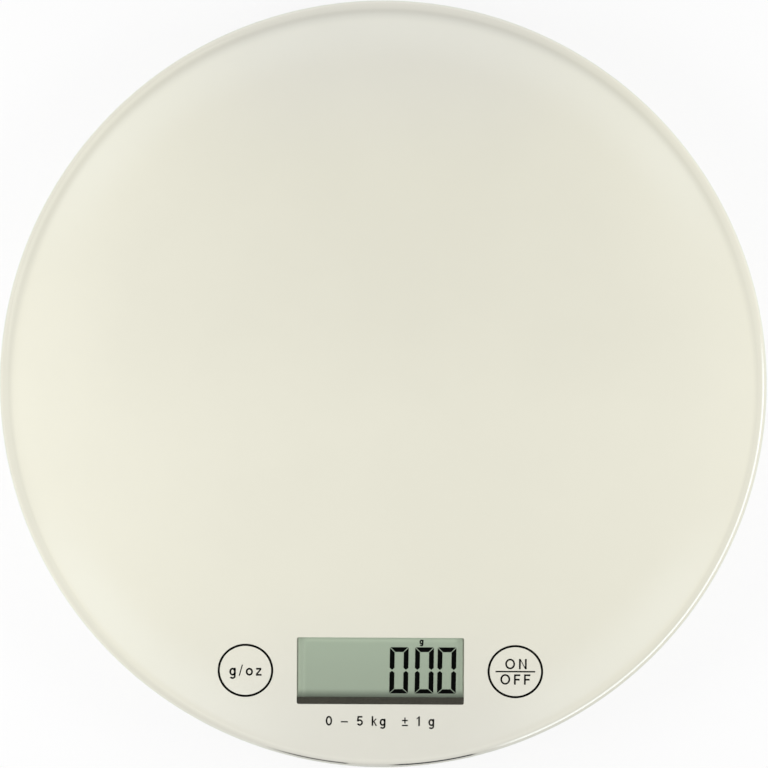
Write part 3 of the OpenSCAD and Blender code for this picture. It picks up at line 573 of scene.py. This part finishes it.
enamel = creamEnamel()
ink = printInk()
platterGlass = clearGlass("platterGlass", (0.985, 0.995, 0.985, 1), rimTint=(0.67, 0.86, 0.75, 1))
displayGlass = clearGlass("displayGlass", (0.94, 0.97, 0.93, 1), 0.02)
housing = mouldedPlastic("housing", (0.80, 0.775, 0.67, 1), spread=0.018)
blackPlastic = mouldedPlastic("blackPlastic", (0.028, 0.028, 0.028, 1), grain=0.2)
footRubber = mattRubber("footRubber", (0.055, 0.055, 0.055, 1))
stripRubber = mattRubber("stripRubber", (0.02, 0.02, 0.022, 1), pebble=0.2)
silicone = mattRubber("silicone", (0.80, 0.80, 0.77, 1), pebble=0.8)
gasketFoam = cutFoam("gasketFoam", rgb(61, 59, 52), paleBehind=-81.9)
tapeFoam = cutFoam("tapeFoam", (0.66, 0.65, 0.60, 1))
zinc = plainMetal("zinc", (0.62, 0.63, 0.66, 1))
springWire = plainMetal("springWire", (0.72, 0.69, 0.62, 1), rough=0.2, stretch=(1, 1, 8))
aluminium = plainMetal("aluminium", (0.78, 0.79, 0.81, 1), rough=0.28, stretch=(8, 1, 1),
                       line=1.2, spread=0.04)
nickel = plainMetal("nickel", (0.74, 0.73, 0.70, 1), rough=0.16, stretch=(1, 1, 1), line=5)
bronze = plainMetal("bronze", (0.72, 0.62, 0.42, 1), rough=0.28)
print("finishes made")


platter = {"edge": 2.6, "bevel": 0.6, "intoPrint": 0.07, "roundPrint": (0.03, 0.02),
           "faceSteps": 12, "edgeSteps": 24, "around": 640}
platterLow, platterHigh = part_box("glass_platter")
platterR = platterHigh.x / mm
printLow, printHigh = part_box("enamel_print")
printR = printHigh.x / mm


# Half section of the platter: flat face, a quarter circle along the upper edge, a straight side, a
# small bevel, and a bottom that steps just round the border of the print to lie inside it
def platterProfile():
    top, low = platterHigh.z / mm, platterLow.z / mm
    edge, bevel = platter["edge"], platter["bevel"]
    face = [(r, top) for r in np.linspace(0, platterR - edge, platter["faceSteps"])[:-1]]
    rounding = arc((platterR - edge, top - edge), edge, 90, 0, platter["edgeSteps"])
    side = [(platterR, low + bevel), (platterR - bevel, low)]
    under = low - platter["intoPrint"]
    outside, inside = platter["roundPrint"]
    back = [(printR + outside, low), (printR + inside, under), (0, under)]
    return [(r * mm, z * mm) for r, z in [*face, *rounding, *side, *back]]


points, faces = turned(platterProfile(), steps=platter["around"])
faces = [face[::-1] for face in faces]
meshPiece("platterGlass", points, faces, "platform", platterGlass,
          ["glass_platter"], smoothTo=25)


def middleOf(node):  # seen from above, in mm
    low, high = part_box(node)
    return (low.x + high.x) / 2 / mm, (low.y + high.y) / 2 / mm


anchors = {side: middleOf(side + "_key_spring") for side in ("left", "right")}
anchors["middle"] = ((anchors["left"][0] + anchors["right"][0]) / 2, anchors["left"][1])


printSheet = {"window": (43.6, 17.4), "corner": 0.5, "rings": 5, "cornerRays": 13,
              "cornerSpan": 0.03}


# Print with its window: rays from the middle of the window run from its edge to the outer circle,
# more of them near its corners. A ray leaves the window through a straight side, or through a
# corner arc where that lies nearer, and meets the outer circle at the root of a quadratic
def printMesh():
    halfX, halfY = np.array(printSheet["window"]) / 2
    corner, centre = printSheet["corner"], np.array(anchors["middle"])
    angle = np.linspace(0, 2 * np.pi, platter["around"], endpoint=False)
    span = printSheet["cornerSpan"]
    near = np.arctan2(halfY, halfX) + np.linspace(-span, span, printSheet["cornerRays"])
    angle = np.sort(np.concatenate([angle, near, np.pi - near, np.pi + near, 2 * np.pi - near]))
    ray = np.stack([np.cos(angle), np.sin(angle)], axis=-1)
    straight = ((halfX, halfY) / np.abs(ray).clip(1e-9)).min(axis=1)
    arcMiddle = np.array([halfX - corner, halfY - corner])
    along = np.abs(ray) @ arcMiddle
    rest = along**2 - arcMiddle @ arcMiddle + corner**2
    inArc = (straight[:, None] * np.abs(ray) > arcMiddle).all(axis=1)
    inner = np.where(inArc, along + np.sqrt(rest.clip(0)), straight)
    toCentre = ray @ centre
    outer = np.sqrt(toCentre**2 + printR**2 - centre @ centre) - toCentre
    share = np.linspace(0, 1, printSheet["rings"])
    reach = inner[:, None] + np.concatenate([share, share[::-1]]) * (outer - inner)[:, None]
    levels = np.repeat([printLow.z / mm, printHigh.z / mm], printSheet["rings"])
    flat = centre + ray[:, None] * reach[..., None]
    points = np.dstack([flat, np.broadcast_to(levels, reach.shape)]).reshape(-1, 3)
    return points * mm, gridFaces(len(angle), len(levels), wrapRows=True, wrapColumns=True)


points, faces = printMesh()
meshPiece("printLayer", points, faces, "platform", enamel, ["enamel_print"])


# Printed marks lie on the print, inside the glass: an oval ring round each key, a bar in one
marks = {"levels": (15.99, 16.02), "ring": (13.95, 13.3), "line": 0.56, "around": 180,
         "bar": (10.35, 0.38)}
printLevels = marks["levels"]


def rectangle(centre, width, height):  # its corners, against the clock
    x, y = centre
    return [(x - width / 2, y - height / 2), (x + width / 2, y - height / 2),
            (x + width / 2, y + height / 2), (x - width / 2, y + height / 2)]


for side in ("left", "right"):
    ring = arc(anchors[side], np.array(marks["ring"]) / 2, 0, 360, marks["around"] + 1)
    points, faces = bands([ring], marks["line"], *printLevels)
    meshPiece(side + "KeyRing", points * mm, faces, "platform", ink)
points, faces = plates([rectangle(anchors["right"], *marks["bar"])], *printLevels)
meshPiece("rightKeyBar", points * mm, faces, "platform", ink)


# Plain upright lettering. Each sign has its width, its filled outlines and its stroked paths,
# all as shares of the capital height: lines are one stroke wide, small letters are "small" high
letters = {"stroke": 0.165, "small": 0.73, "space": 0.34, "around": 37}


# Path of an oval or a part of it, half a stroke inside its width and height
def oval(width, height, start=0, end=360, centre=None):
    half = np.array([width, height]) / 2 - letters["stroke"] / 2
    middle = centre or (width / 2, height / 2)
    return arc(middle, half, start, end, letters["around"])


def signShapes():
    s, h = letters["stroke"], letters["small"]
    stem = 0.60 - s / 2
    hook = oval(0.59, 0.52, 0, -150, (stem - 0.225, -0.05))
    return {
        " ": (letters["space"], [], []),
        "O": (0.95, [], [oval(0.95, 1.02)]),
        "0": (0.66, [], [oval(0.66, 1.0)]),
        "o": (0.67, [], [oval(0.67, h)]),
        "N": (0.74, [[(0, 0), (s, 0), (s, 0.79), (0.60, 0), (0.74, 0), (0.74, 1), (0.74 - s, 1),
                      (0.74 - s, 0.21), (0.14, 1), (0, 1)]], []),
        "F": (0.60, [[(0, 0), (s, 0), (s, 0.57 - s), (0.54, 0.57 - s), (0.54, 0.57), (s, 0.57),
                      (s, 1 - s), (0.60, 1 - s), (0.60, 1), (0, 1)]], []),
        "k": (0.55, [[(0, 0), (s, 0), (s, 0.30), (0.20, 0.375), (0.40, 0), (0.55, 0),
                      (0.29, 0.46), (0.53, h), (0.37, h), (s, 0.46), (s, 1), (0, 1)]], []),
        "z": (0.53, [[(0, 0), (0.53, 0), (0.53, s), (0.18, s), (0.51, h - s), (0.51, h),
                      (0.03, h), (0.03, h - s), (0.34, h - s), (0, s)]], []),
        "g": (0.60, [], [oval(0.60, h), [(stem, h), (stem, 0.3), *hook]]),
        "5": (0.64, [], [[(0.59, 1 - s / 2), (0.165, 1 - s / 2), (0.10, 0.44)],
                         oval(0.64, 0.66, 150, -155, (0.32, 0.33))]),
        "1": (0.36, [[(0.36 - s, 0), (0.36, 0), (0.36, 1), (0.28, 1), (0.02, 0.79),
                      (0.02, 0.66), (0.36 - s, 0.81)]], []),
        "/": (0.38, [[(0, -0.02), (0.10, -0.02), (0.38, 1.02), (0.28, 1.02)]], []),
        "–": (0.72, [rectangle((0.36, 0.40), 0.72, 0.8 * s)], []),
        "±": (0.60, [rectangle((0.30, 0.05), 0.60, 0.8 * s), rectangle((0.30, 0.56), 0.60, 0.8 * s),
                     rectangle((0.30, 0.56), 0.8 * s, 0.62)], []),
    }


signs = signShapes()


# A line of text: the signs keep their shape, and the gaps between them make up the full width.
# Weight widens the strokes
def textMesh(text, middle, baseline, cap, width, low, high, weight=1.0):
    natural = sum(signs[sign][0] for sign in text)
    gap = (width / cap - natural) / (len(text) - 1) if len(text) > 1 else 0
    x, outlines, paths = -(natural + gap * (len(text) - 1)) / 2, [], []
    for sign in text:
        outlines += [np.array(outline) + (x, 0) for outline in signs[sign][1]]
        paths += [np.array(path) + (x, 0) for path in signs[sign][2]]
        x += signs[sign][0] + gap
    place = np.array([middle, baseline])
    outlines = [outline * cap + place for outline in outlines]
    paths = [path * cap + place for path in paths]
    line = letters["stroke"] * cap * weight
    meshes = [plates(outlines, low, high)] if outlines else []
    meshes += [bands(paths, line, low, high)] if paths else []
    return together(*meshes) if len(meshes) == 2 else meshes[0]


words = {  # text, anchor, offset of its middle and baseline from it, capital height, width
    "onWord": ("ON", "right", 0.15, 0.62, 2.7, 5.6),
    "offWord": ("OFF", "right", 0.0, -3.4, 2.7, 7.8),
    "unitWord": ("g/oz", "left", 0.0, -1.38, 2.8, 8.4),
    "rangeWord": ("0 – 5 kg", "middle", -6.4, -14.3, 2.53, 15.6),
    "stepWord": ("± 1 g", "middle", 9.9, -14.3, 2.53, 8.4),
}
for name, (text, anchor, right, up, cap, width) in words.items():
    x, y = anchors[anchor]
    points, faces = textMesh(text, x + right, y + up, cap, width, *printLevels)
    meshPiece(name, points * mm, faces, "platform", ink)
print("print and platter made")


# Display: three noughts and a unit on the front film, with places from the window's middle
figures = {"middles": (4.77, 11.38, 17.25), "middleY": 0.13, "width": 4.90, "height": 12.06,
           "side": 1.27, "top": 1.25, "bottom": 1.12, "gap": 0.13, "lean": 0.012,
           "into": 0.005, "thick": 0.02, "unit": (10.7, 6.96), "unitCap": 1.55, "unitWeight": 1.5}


# Bars of a nought: six mitred strips, and a lean that shifts x with height
def noughtBars(middle, centreY):
    w, h, s, g = figures["width"], figures["height"], figures["side"], figures["gap"]
    t, b = figures["top"], figures["bottom"]
    top = [(g, h), (s + g, h - t), (w - s - g, h - t), (w - g, h)]
    bottom = [(g, 0), (w - g, 0), (w - s - g, b), (s + g, b)]
    upper = [(0, h - g), (0, h / 2 + s / 2), (s / 2, h / 2 + g), (s, h / 2 + s / 2),
             (s, h - t - g)]
    lower = [(0, g), (s, b + g), (s, h / 2 - s / 2), (s / 2, h / 2 - g), (0, h / 2 - s / 2)]
    bars = [top, bottom, upper, lower, [(w - x, y) for x, y in upper[::-1]],
            [(w - x, y) for x, y in lower[::-1]]]
    return [[(middle - w / 2 + x + figures["lean"] * y, centreY - h / 2 + y) for x, y in bar]
            for bar in bars]


# Dark segments: a little uneven, as a liquid crystal shows them
def segmentInk():
    paint = Paint("segmentInk")
    colour = mottled(paint, (0.0012, 0.0015, 0.0012, 1), 0.4, 0.25)
    return paint.finish(paint.surface(baseColor=colour, roughness=0.4, ior=1.03))


segment = segmentInk()
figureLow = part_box("lcd_front_film")[1].z / mm - figures["into"]
figureLevels = (figureLow, figureLow + figures["thick"])
x, y = anchors["middle"]
bars = [bar for middle in figures["middles"]
        for bar in noughtBars(x + middle, y + figures["middleY"])]
points, faces = plates(bars, *figureLevels)
meshPiece("figures", points * mm, faces, "platform", segment)
right, up = figures["unit"]
points, faces = textMesh("g", x + right, y + up, figures["unitCap"], 0, *figureLevels,
                         weight=figures["unitWeight"])
meshPiece("unitFigure", points * mm, faces, "platform", segment)
print("display made")


foot = {"round": 0.7, "dish": 0.25, "rim": 1.6, "slope": 0.4, "edgeSteps": 10, "around": 96}


# Half section of a rubber foot: a shallow dish in its sole, a slope, a quarter circle, a flat top
def footProfile(radius, top):
    edge, dish = foot["round"], foot["dish"]
    dishR = radius - edge - foot["rim"]
    sole = [(0, dish), (dishR, dish), (dishR + foot["slope"], 0)]
    rounding = arc((radius - edge, edge), edge, -90, 0, foot["edgeSteps"])
    upper = [(radius, top), (0, top)]
    return [(r * mm, z * mm) for r, z in [*sole, *rounding, *upper]]


for corner in ("front_left", "front_right", "rear_left", "rear_right"):
    node = "foot_" + corner
    low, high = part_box(node)
    centre = ((low.x + high.x) / 2, (low.y + high.y) / 2)
    profile = footProfile((high.x - low.x) / 2 / mm, high.z / mm)
    points, faces = turned(profile, centre, foot["around"])
    name = "foot" + corner.title().replace("_", "")
    meshPiece(name, points, faces, "base", footRubber, [node], smoothTo=40)


# Moulded lines under the base: a ring round the battery cover, a bare field for a label, and the
# places that the pointer on the cover turns between, a dot for locked and a ring for released
moulded = {"proud": 0.5, "into": 0.05, "line": 0.8, "cover": (0, 46), "ring": 15.1,
           "ringSteps": 97, "pointer": (13.0, 10.2, 1.5), "places": 18.0, "locked": -90,
           "released": -45, "dot": 1.2, "dotSteps": 25, "openRing": 0.95, "openLine": 0.5,
           "field": (46, 24), "fieldAt": (0, -48), "corner": 3, "cornerSteps": 9}


# Closed path of a rectangle with rounded corners, from its upper right one against the clock
def roundedPath(centre, width, height, corner, steps):
    x, y = width / 2 - corner, height / 2 - corner
    turns = [arc((centre[0] + x * right, centre[1] + y * up), corner, start, start + 90, steps)
             for right, up, start in ((1, 1, 0), (-1, 1, 90), (-1, -1, 180), (1, -1, 270))]
    return np.vstack([*turns, turns[0][:1]])


def mouldedLines():
    cover = np.array(moulded["cover"])
    locked, released = (cover + arc((0, 0), moulded["places"], moulded[place], moulded[place], 1)[0]
                        for place in ("locked", "released"))
    tip, heel, half = moulded["pointer"]  # how far its tip and heel are from the cover's middle
    pointer = cover + np.array([(0, -tip), (half, -heel), (-half, -heel)])
    ring = arc(cover, moulded["ring"], 0, 360, moulded["ringSteps"])
    field = roundedPath(moulded["fieldAt"], *moulded["field"], moulded["corner"],
                        moulded["cornerSteps"])
    openRing = arc(released, moulded["openRing"], 0, 360, moulded["dotSteps"])
    dot = arc(locked, moulded["dot"], 0, 360, moulded["dotSteps"])[:-1]
    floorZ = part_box("lower_base")[0].z / mm
    levels = (floorZ - moulded["proud"], floorZ + moulded["into"])
    onBase = together(bands([ring, field], moulded["line"], *levels),
                      bands([openRing], moulded["openLine"], *levels))
    return together(onBase, plates([dot], *levels)), plates([pointer], *levels)


for (points, faces), name, body in zip(mouldedLines(), ("baseLines", "coverPointer"),
                                       ("base", "battery_cover")):
    meshPiece(name, points * mm, faces, body, housing)


spring = {"coil": 8.0, "wire": 0.6, "turns": 3, "flat": 0.35, "perTurn": 40}


# Touch spring: a helix between board and glass, flat for part of a turn at each end
def springPath(centre, bottom, top):
    turn = np.linspace(0, spring["turns"], spring["turns"] * spring["perTurn"] + 1)
    rise = np.clip((turn - spring["flat"]) / (spring["turns"] - 2 * spring["flat"]), 0, 1)
    angle, radius = 2 * np.pi * turn, spring["coil"] / 2
    return np.stack([centre[0] + radius * np.cos(angle), centre[1] + radius * np.sin(angle),
                     bottom + (top - bottom) * rise], axis=-1)


for side in ("left", "right"):
    node = side + "_key_spring"
    low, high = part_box(node)
    inside = spring["wire"] / 2
    path = springPath(anchors[side], low.z / mm + inside, high.z / mm - inside)
    points, faces = wire(path, spring["wire"])
    meshPiece(side + "KeySpring", points * mm, faces, "platform", springWire,
              [node], smoothTo=60)


# Wires: the routes of the CAD wires, rounder, each in its own colour
lead = {"cell": 0.9, "cellPitch": 1.6, "bow": 5, "height": 8.8, "rise": 4, "battery": 1.1,
        "fromBoardEdge": 2.4, "steps": 8}
wireColours = {"red": (0.42, 0.02, 0.015, 1), "black": (0.015, 0.015, 0.015, 1),
               "green": (0.02, 0.22, 0.05, 1), "white": (0.75, 0.74, 0.70, 1)}
boardLow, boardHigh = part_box("circuit_board")
solderY = boardHigh.y / mm - lead["fromBoardEdge"]
underBoard, level = boardLow.z / mm, lead["height"]


def wireJacket(name, colour):
    paint = Paint(name + "Wire")
    return paint.finish(paint.surface(baseColor=mottled(paint, colour, 1.5, 0.12),
                                      roughness=0.3 + 0.15 * paint.noise(0.8)))


jackets = {name: wireJacket(name, colour) for name, colour in wireColours.items()}
y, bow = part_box("gauge_coating")[0].y / mm, lead["bow"]  # the cell's wires bow to the left
run = y - solderY
for k, colour in enumerate(wireColours):
    x = (k - 1.5) * lead["cellPitch"]
    far = x - 0.4 * bow
    route = [(x, y, level), (x, y - 2, level), (x - 0.6 * bow, y - 0.25 * run, level),
             (x - bow, y - 0.5 * run, level), (x - 0.8 * bow, y - 0.78 * run, level),
             (far, solderY + lead["rise"], level), (far, solderY, underBoard - 1),
             (far, solderY, underBoard)]
    points, faces = wire(smoothRoute(route, lead["steps"]), lead["cell"])
    piece = meshPiece(colour + "CellWire", points * mm, faces, None,
                      jackets[colour], ["load_cell_wires"], smoothTo=60)
    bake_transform(piece)

tabZ, lifted = 10.0, level + 0.2
batteryRoutes = {
    "red": [(4.7, 44.3, tabZ), (12.2, 41.6, tabZ), (19, 38, lifted), (38, 27, level),
            (49, 9, level), (50, -12, level), (46, -34, level), (34, -50, level),
            (25.3, solderY + 5, level), (25, solderY, underBoard - 1), (25, solderY, underBoard)],
    "black": [(1.7, 41.3, tabZ), (4.4, 34, tabZ), (12, 28.5, lifted), (35.4, 24.4, level),
              (47, 7.6, level), (48, -12, level), (44.2, -33, level), (32.4, -48.6, level),
              (22.8, solderY + 5, level), (22.4, solderY, underBoard - 1),
              (22.4, solderY, underBoard)],
}
for colour, route in batteryRoutes.items():
    points, faces = wire(smoothRoute(route, lead["steps"]), lead["battery"])
    piece = meshPiece(colour + "BatteryWire", points * mm, faces, None,
                      jackets[colour], ["battery_wires"], smoothTo=60)
    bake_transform(piece)
print("feet, springs and wires made")


# Load cell and its coating, which reach from their fixed end to their free end: the CAD shapes,
# their triangles joined
for node, name, slot, finish in (("load_cell", "loadCell", "cell_aluminium", aluminium),
                                 ("gauge_coating", "gaugeCoating", "white_rubber", silicone)):
    points, faces = joined(node)
    piece = meshPiece(name, points, faces, None, finish, [node], smoothTo=30)
    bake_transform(piece)

# Pieces that show: the CAD shape, its triangles joined
shown = {
    "platform_tray": ("trayHousing", "platform", "cream_plastic", housing),
    "lower_base": ("baseHousing", "base", "cream_plastic", housing),
    "battery_cover": ("batteryCover", "battery_cover", "cream_plastic", housing),
    "display_gasket": ("displayGasket", "platform", "black_foam", gasketFoam),
    "lcd_front_film": ("displayFilm", "platform", "display_film", displayFace()),
}
for node, (name, body, slot, finish) in shown.items():
    points, faces = joined(node)
    meshPiece(name, points, faces, body, finish, [node], smoothTo=32)

# The rest keeps its CAD mesh and gets its finish
dressed = {
    "mounting_tape": tapeFoam, "lcd_front_glass": displayGlass, "lcd_rear_glass": displayGlass,
    "lcd_rear_film": displayFace(), "zebra_strip": stripRubber, "display_frame": blackPlastic,
    "circuit_board": circuitBoard(), "chip_coating": resinDome(),
    "board_components": smallParts(), "board_screws": zinc, "cell_tray_plate": zinc,
    "cell_tray_screws": zinc, "cell_base_plate": zinc, "cell_base_screws": zinc,
    "coin_cell_can": nickel, "coin_cell_seal": stripRubber, "coin_cell_cap": nickel,
    "positive_contact": bronze, "negative_contact": bronze,
}
for node, finish in dressed.items():
    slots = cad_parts[node].data.materials
    slots.clear()
    slots.append(finish)
print("all nodes dressed")


# Studio: half the floor's side in metres, how far it lies under the feet in mm, where it fades to
# white in mm, and the cone overhead that is dark, in degrees from straight up
studio = {"floor": 3.0, "floorUnder": 0.05, "floorWhite": 0.80, "floorShown": 0.86,
          "whiteFrom": (130, 450), "world": 0.50, "worldTint": (1, 1, 0.995, 1),
          "darkCap": (20, 12), "darkShare": 0.95}
pureWhite = (1, 1, 1, 1)


# Pale floor: seen by the camera or in a reflection it is mostly white, and keeps the object's
# shadow, and far away it is as white as the world, so that no horizon shows
def floorPiece():
    half, low = studio["floor"], -studio["floorUnder"] * mm
    corners = [(-half, -half, low), (half, -half, low), (half, half, low), (-half, half, low)]
    piece = meshPiece("floor", corners, [(0, 1, 2, 3)])
    paint = Paint("paleFloor")
    x, y, _ = paint.axes()
    far = radiusOf(x, y).step(*studio["whiteFrom"])
    whiteness = studio["floorShown"] + (1 - studio["floorShown"]) * far
    seen = paint.rays("Camera", "Glossy", "Transmission")
    matt = paint.add("ShaderNodeBsdfDiffuse", None, {0: (studio["floorWhite"],) * 3 + (1,)})
    white = paint.add("ShaderNodeEmission", None, {0: pureWhite, 1: 1.0})
    piece.data.materials.append(paint.finish(paint.add(
        "ShaderNodeMixShader", None, {0: seen * whiteness, 1: matt, 2: white})))


# World: white to the camera, and an even light that is darker straight overhead, so that the glass
# reflects no glare upwards
def studioWorld():
    world = bpy.data.worlds.new("studio")
    world.use_nodes = True
    bpy.context.scene.world = world
    paint = Paint("studio", world.node_tree)
    direction = paint.add("ShaderNodeTexCoord", out="Generated")
    up = paint.add("ShaderNodeSeparateXYZ", None, {0: direction}, "Z")
    overhead = up.step(*(math.cos(math.radians(angle)) for angle in studio["darkCap"]))
    strength = studio["world"] * (1 - studio["darkShare"] * overhead)
    light = paint.add("ShaderNodeBackground", None, {0: studio["worldTint"], 1: strength})
    white = paint.add("ShaderNodeBackground", None, {0: pureWhite, 1: 1.0})
    mixed = paint.add("ShaderNodeMixShader", None, {0: paint.rays("Camera"), 1: light, 2: white})
    paint.add("ShaderNodeOutputWorld", None, {0: mixed})


# Soft box: an area lamp that faces a point, all in metres. It either lights the object or shows as
# a highlight on it, so that each can be set for itself
def softBox(name, place, aim, size, power, highlight):
    lamp = bpy.data.lights.new(name, "AREA")
    lamp.shape, lamp.size, lamp.size_y, lamp.energy = "RECTANGLE", size[0], size[1], power
    holder = bpy.data.objects.new(name, lamp)
    bpy.context.scene.collection.objects.link(holder)
    away = np.array(place) - np.array(aim)
    holder.location = place
    holder.rotation_euler = (math.atan2(math.hypot(away[0], away[1]), away[2]), 0,
                             math.atan2(away[0], -away[1]))
    holder.visible_camera = False
    holder.visible_diffuse = not highlight
    holder.visible_glossy = holder.visible_transmission = highlight


lamps = {  # place, aim, size, power, and whether it is there for its highlight
    "leftBox": ((-0.34, -0.03, 0.24), (-0.05, -0.02, 0.02), (0.30, 0.16), 1.12, False),
    "rightBox": ((0.35, 0.0, 0.25), (0.05, 0.0, 0.02), (0.30, 0.16), 0.99, False),
    "edgeStrip": ((0.51, -0.32, 0.09), (0.0, 0.0, 0.02), (1.0, 0.05), 0.5, True),
    "sheen": ((-0.7, 0.5, 0.7), (0.0, 0.0, 0.02), (0.9, 0.7), 1.4, True),
}
floorPiece()
studioWorld()
for name, (place, aim, size, power, highlight) in lamps.items():
    softBox(name, place, aim, size, power, highlight)


shot = {"lens": 180, "sensor": 36, "imagePx": 768, "radiusPx": 383.4, "centrePx": (383.3, 383.85),
        "roll": 0.28, "seesTo": 10}


# Camera: straight above with a long lens, so far off that the widest part of the glass has the
# disc's radius in the picture, and moved so that its middle has the disc's middle
def topCamera():
    data = bpy.data.cameras.new("camera")
    data.lens, data.sensor_width = shot["lens"], shot["sensor"]
    holder = bpy.data.objects.new("camera", data)
    bpy.context.scene.collection.objects.link(holder)
    bpy.context.scene.camera = holder
    widest = platterHigh.z - platter["edge"] * mm
    perPx = platterHigh.x / shot["radiusPx"]
    distance = perPx * shot["imagePx"] / shot["sensor"] * shot["lens"]
    x = (shot["imagePx"] / 2 - shot["centrePx"][0]) * perPx
    y = (shot["centrePx"][1] - shot["imagePx"] / 2) * perPx
    holder.location = (x, y, widest + distance)
    holder.rotation_euler = (0, 0, math.radians(shot["roll"]))
    data.clip_end = shot["seesTo"]


topCamera()
bpy.context.scene.view_settings.view_transform = "Standard"
print("studio and camera made")
